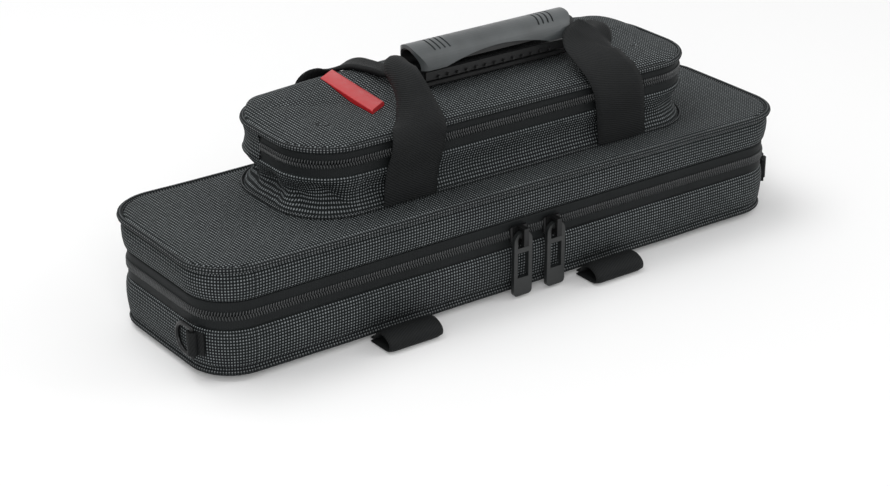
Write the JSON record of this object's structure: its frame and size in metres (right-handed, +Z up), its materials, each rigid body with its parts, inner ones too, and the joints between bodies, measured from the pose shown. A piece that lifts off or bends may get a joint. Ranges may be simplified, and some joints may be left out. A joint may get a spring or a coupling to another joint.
{
  "type": "flute case",
  "caption": "Zipped flute case with a shaped bed inside, a zipped pouch on the lid, a two-part webbing handle with a moulded grip, D-rings and loops below.",
  "frame": {"origin": "middle of the bottom, on the surface that the case stands on", "axes": "+X along the case towards its right end, -Y towards the front with the zip pulls, +Z up"},
  "size_m": [0.4438, 0.1487, 0.1482],
  "materials": {
    "body_fabric": "dotted two-tone weave",
    "piping": "matt, sewn over a cord",
    "zip_tape": "fine ribbed tape",
    "zip_coil": "moulded coil teeth",
    "plush": "short plush pile",
    "webbing": "close ribbed webbing",
    "ring_metal": "black satin",
    "slider_metal": "black satin",
    "pull_plastic": "satin",
    "badge_plastic": "soft gloss",
    "grip_black": "matt",
    "grip_grey": "satin"
  },
  "bodies": {
    "base": {"base_shell": "body_fabric", "bottom_piping": "piping", "base_zip_tape": "zip_tape", "base_zip_coil": "zip_coil", "hinge_strip_lower": "body_fabric", "flute_bed": "plush", "bottom_loop_left": "webbing", "bottom_loop_right": "webbing", "ring_tab_left": "webbing", "ring_tab_right": "webbing"},
    "lid": {"lid_shell": "body_fabric", "lid_pad": "plush", "lid_piping": "piping", "lid_zip_tape": "zip_tape", "lid_zip_coil": "zip_coil", "hinge_strip_upper": "body_fabric", "pouch_wall": "body_fabric", "pouch_seam": "piping", "pouch_zip_tape": "zip_tape", "pouch_zip_coil": "zip_coil"},
    "pouch_flap": {"flap_panel": "body_fabric", "flap_piping": "piping", "flap_zip_tape": "zip_tape", "flap_zip_coil": "zip_coil", "flap_badge": "badge_plastic"},
    "front_handle": {"front_strap": "webbing", "grip_core": "grip_black"},
    "rear_handle": {"rear_strap": "webbing", "grip_cover": "grip_grey", "grip_liner": "grip_black"},
    "slider_left": {"slider_left": "slider_metal"},
    "pull_left": {"pull_left": "pull_plastic"},
    "slider_right": {"slider_right": "slider_metal"},
    "pull_right": {"pull_right": "pull_plastic"},
    "pouch_slider": {"pouch_slider": "slider_metal"},
    "pouch_pull": {"pouch_pull": "pull_plastic"},
    "d_ring_left": {"d_ring_left": "ring_metal"},
    "d_ring_right": {"d_ring_right": "ring_metal"}
  },
  "joints": [
    {"name": "lid_hinge", "type": "hinge", "parent": "base", "child": "lid", "pos_m": [0, 0.0609, 0.041], "axis": [-1, 0, 0], "range_deg": [0, 110]},
    {"name": "rear_handle_swing", "type": "hinge", "parent": "lid", "child": "rear_handle", "pos_m": [0.014, 0.061, 0.0734], "axis": [-1, 0, 0], "range_deg": [0, 86]},
    {"name": "front_handle_swing", "type": "hinge", "parent": "lid", "child": "front_handle", "pos_m": [0.014, -0.0422, 0.0734], "axis": [1, 0, 0], "range_deg": [0, 86]},
    {"name": "pouch_flap_hinge", "type": "hinge", "parent": "lid", "child": "pouch_flap", "pos_m": [0.012, 0.058, 0.1052], "axis": [-1, 0, 0], "range_deg": [0, 35]},
    {"name": "slider_left_slide", "type": "slide", "parent": "base", "child": "slider_left", "axis": [-1, 0, 0], "range_m": [0, 0.175], "deforming": ["bottom_loop_left"]},
    {"name": "pull_left_swing", "type": "hinge", "parent": "slider_left", "child": "pull_left", "pos_m": [-0.003, -0.06507, 0.0426], "axis": [-1, 0, 0], "range_deg": [0, 160]},
    {"name": "slider_right_slide", "type": "slide", "parent": "base", "child": "slider_right", "axis": [1, 0, 0], "range_m": [0, 0.155], "deforming": ["bottom_loop_right"]},
    {"name": "pull_right_swing", "type": "hinge", "parent": "slider_right", "child": "pull_right", "pos_m": [0.0225, -0.06507, 0.0426], "axis": [-1, 0, 0], "range_deg": [0, 160]},
    {"name": "pouch_slider_slide", "type": "slide", "parent": "lid", "child": "pouch_slider", "axis": [0, -1, 0], "range_m": [0, 0.007]},
    {"name": "pouch_pull_swing", "type": "hinge", "parent": "pouch_slider", "child": "pouch_pull", "pos_m": [0.16649, 0.0095, 0.10675], "axis": [0, -1, 0], "range_deg": [0, 160]},
    {"name": "d_ring_left_swing", "type": "hinge", "parent": "base", "child": "d_ring_left", "pos_m": [-0.2187, -0.04109, 0.0235], "axis": [0, 0, 1], "range_deg": [0, 175]},
    {"name": "d_ring_right_swing", "type": "hinge", "parent": "base", "child": "d_ring_right", "pos_m": [0.2187, -0.04109, 0.0235], "axis": [0, 0, -1], "range_deg": [0, 175]}
  ],
  "couplings": [
    {"joint": "front_handle_swing", "follows": "rear_handle_swing", "ratio": 1},
    {"joint": "pouch_flap_hinge", "follows": "rear_handle_swing", "ratio": 0.4}
  ]
}
